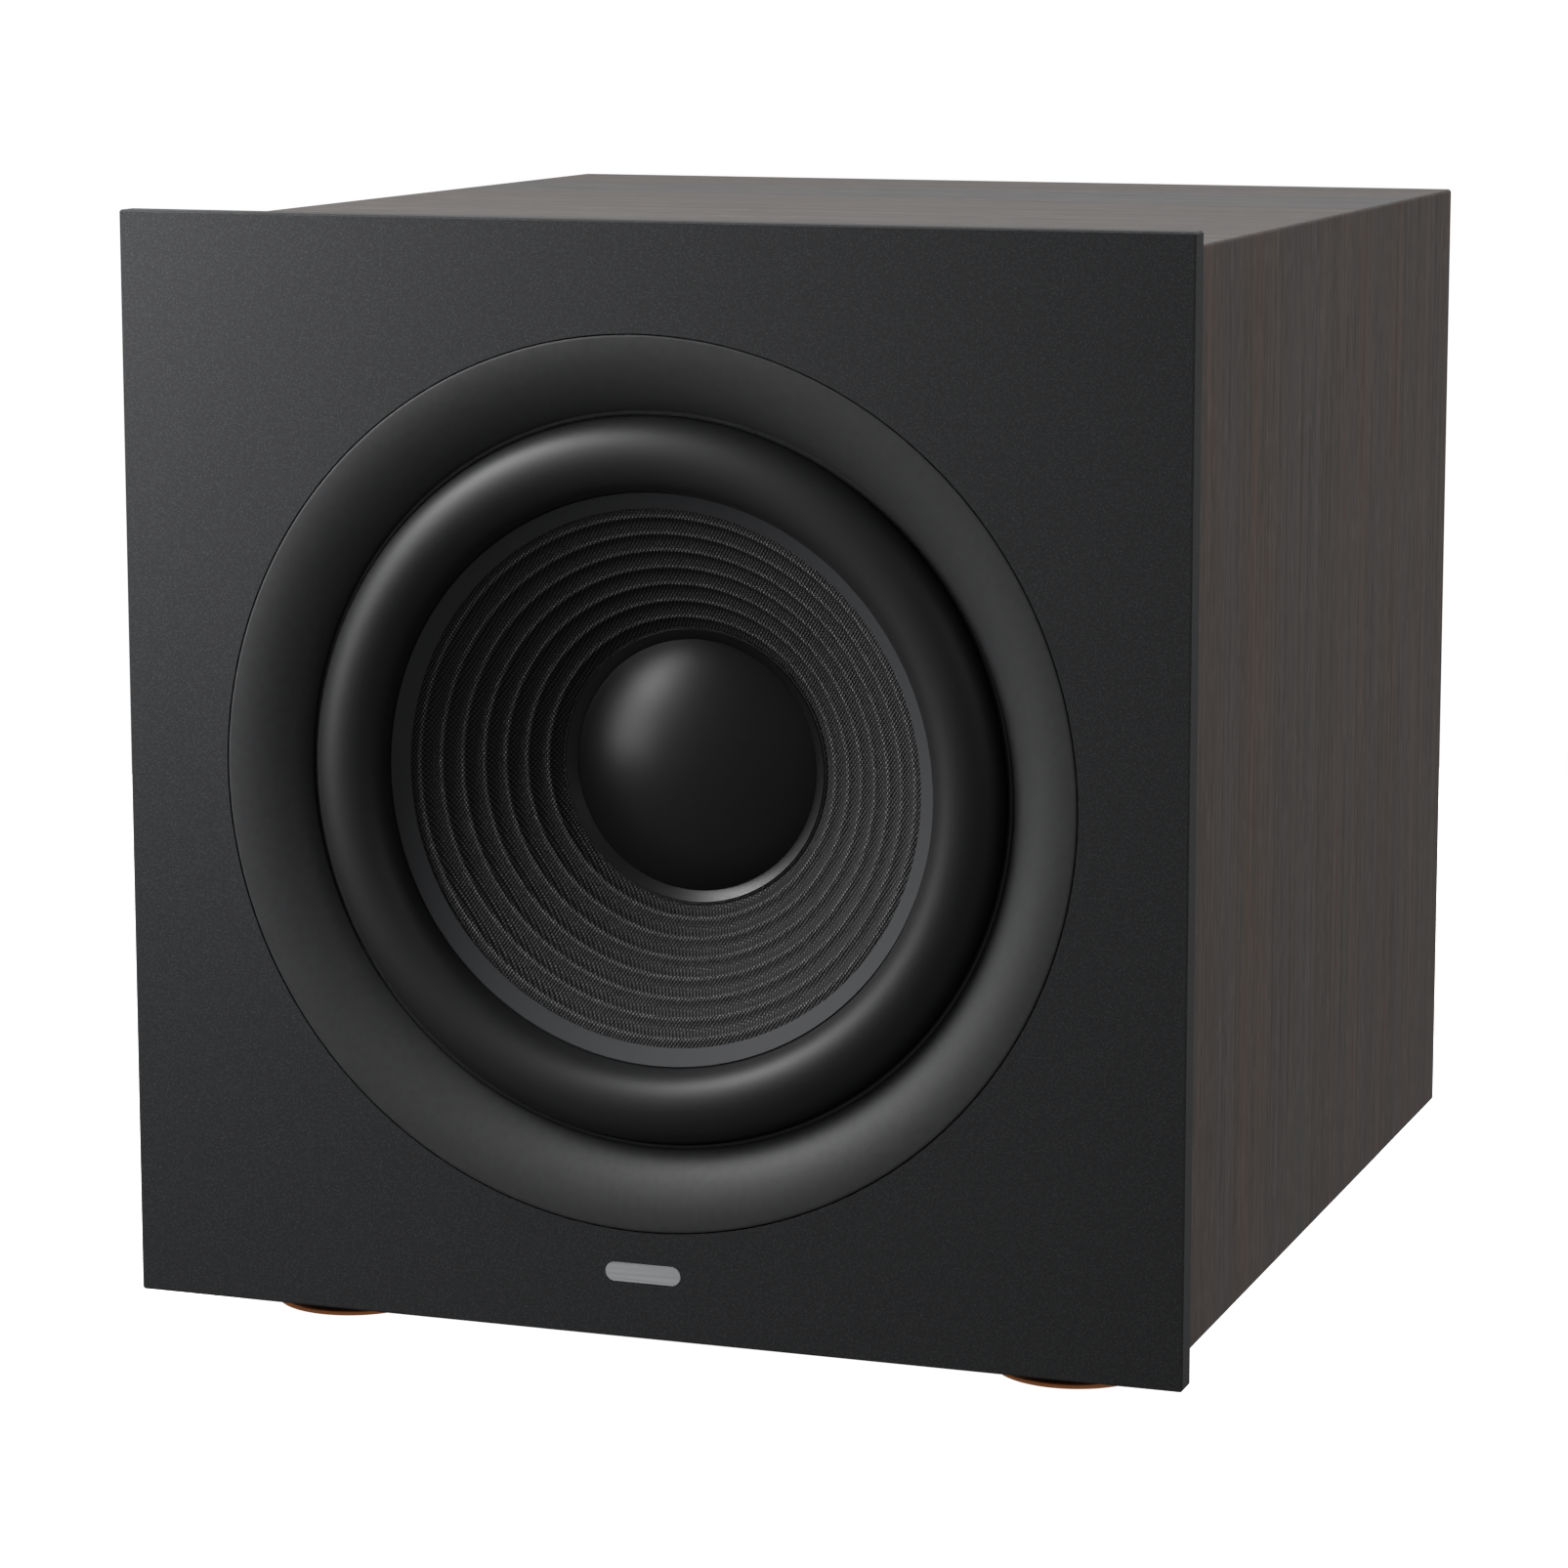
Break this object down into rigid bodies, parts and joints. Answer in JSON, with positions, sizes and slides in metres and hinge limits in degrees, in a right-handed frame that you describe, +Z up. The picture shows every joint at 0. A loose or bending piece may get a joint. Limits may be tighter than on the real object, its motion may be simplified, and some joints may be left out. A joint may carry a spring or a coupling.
{
  "type": "subwoofer",
  "caption": "Powered subwoofer: square black front with a woven-cone woofer in a rolled trim ring, wood-grain cabinet, rear port and plate amplifier, round feet.",
  "frame": {"origin": "on the floor, under the middle of the overall width and depth", "axes": "+X to the right seen from the front, -Y towards the listener (the woofer's side), +Z up"},
  "size_m": [0.345, 0.391, 0.358],
  "materials": {
    "plate_finish": "fine textured black paint on fibreboard, satin matte",
    "trim_plastic": "smooth charcoal moulding",
    "badge_metal": "satin grey",
    "walnut_wrap": "dark espresso wood-grain wrap",
    "bare_board": "raw fibreboard",
    "rear_board": "black painted fibreboard",
    "rubber_black": "satin black rubber",
    "step_gloss": "thin glossy black ring",
    "cone_weave": "black woven composite with shallow rings",
    "cap_satin": "smooth satin dome",
    "cast_frame": "black powder coat",
    "foam": "closed-cell foam",
    "spider_cloth": "resin-stiffened cloth",
    "former_metal": "bare",
    "copper_wire": "enamelled copper",
    "zinc_steel": "zinc plated",
    "ferrite": "sintered grey",
    "black_screw": "black zinc",
    "phenolic": "laminate board with lugs",
    "lead_sheath": "flexible insulation",
    "port_plastic": "fine matte moulding",
    "amp_metal": "black textured powder coat",
    "circuit_board": "green laminate",
    "transformer_iron": "laminations and taped winding",
    "capacitor_can": "sleeved can",
    "knob_plastic": "ribbed black",
    "switch_plastic": "black moulding",
    "lever_plastic": "pale moulding",
    "jack_nickel": "nickel plated",
    "jack_insulator": "moulded insulator",
    "led_lens": "tinted lens",
    "sink_aluminium": "black anodised",
    "foot_plastic": "black moulding",
    "foot_copper": "copper-coloured metallic paint",
    "foot_rubber": "matt rubber",
    "fuse_plastic": "black moulding"
  },
  "bodies": {
    "cabinet": {"front_plate": "plate_finish", "trim_ring": "trim_plastic", "badge": "badge_metal", "panel_top": "walnut_wrap", "panel_left": "walnut_wrap", "panel_right": "walnut_wrap", "panel_bottom": "walnut_wrap", "inner_baffle": "bare_board", "window_brace": "bare_board", "rear_panel": "rear_board", "step_ring": "step_gloss", "woofer_basket": "cast_frame", "woofer_gasket": "foam", "woofer_screws": "black_screw", "terminal_strip": "phenolic", "speaker_leads": "lead_sheath", "top_plate": "zinc_steel", "magnet_rings": "ferrite", "pole_and_back_plate": "zinc_steel", "port_outer_flare": "port_plastic", "port_tube": "port_plastic", "port_inner_flare": "port_plastic", "port_screws": "black_screw", "amp_plate": "amp_metal", "amp_gasket": "foam", "amp_enclosure": "cast_frame", "amp_board": "circuit_board", "board_standoffs": "zinc_steel", "transformer": "transformer_iron", "capacitors": "capacitor_can", "control_pots": "zinc_steel", "slide_switch_bodies": "switch_plastic", "mains_switch_housing": "switch_plastic", "mains_inlet": "switch_plastic", "inlet_pins": "jack_nickel", "jack_shells": "jack_nickel", "jack_inserts": "jack_insulator", "status_led": "led_lens", "heat_sink": "sink_aluminium", "amp_screws": "black_screw", "foot_bodies": "foot_plastic", "foot_rings": "foot_copper", "foot_pads": "foot_rubber", "foot_screws": "black_screw"},
    "cone_assembly": {"cone": "cone_weave", "surround": "rubber_black", "dust_cap_ring": "step_gloss", "dust_cap": "cap_satin", "spider": "spider_cloth", "voice_coil_former": "former_metal", "voice_coil_winding": "copper_wire"},
    "gain_control": {"gain_knob": "knob_plastic", "gain_shaft": "zinc_steel"},
    "crossover_control": {"crossover_knob": "knob_plastic", "crossover_shaft": "zinc_steel"},
    "phase_switch": {"phase_lever": "lever_plastic"},
    "mode_switch": {"mode_lever": "lever_plastic"},
    "power_rocker": {"mains_rocker": "switch_plastic"},
    "fuse_carrier": {"fuse_drawer": "fuse_plastic"}
  },
  "joints": [
    {"name": "cone_travel", "type": "slide", "parent": "cabinet", "child": "cone_assembly", "axis": [0, 1, 0], "range_m": [-0.01, 0.01], "stiffness_N_per_m": 2200, "deforming": ["surround", "spider"]},
    {"name": "gain_turn", "type": "hinge", "parent": "cabinet", "child": "gain_control", "pos_m": [-0.072, 0.179, 0.154], "axis": [0, 1, 0], "range_deg": [-150, 150]},
    {"name": "crossover_turn", "type": "hinge", "parent": "cabinet", "child": "crossover_control", "pos_m": [-0.034, 0.179, 0.154], "axis": [0, 1, 0], "range_deg": [-150, 150]},
    {"name": "phase_slide", "type": "slide", "parent": "cabinet", "child": "phase_switch", "axis": [1, 0, 0], "range_m": [0, 0.004]},
    {"name": "mode_slide", "type": "slide", "parent": "cabinet", "child": "mode_switch", "axis": [1, 0, 0], "range_m": [0, 0.004]},
    {"name": "power_rock", "type": "hinge", "parent": "cabinet", "child": "power_rocker", "pos_m": [0.012, 0.179, 0.09], "axis": [1, 0, 0], "range_deg": [-20, 0]},
    {"name": "fuse_slide", "type": "slide", "parent": "cabinet", "child": "fuse_carrier", "axis": [0, 1, 0], "range_m": [0, 0.012]}
  ]
}
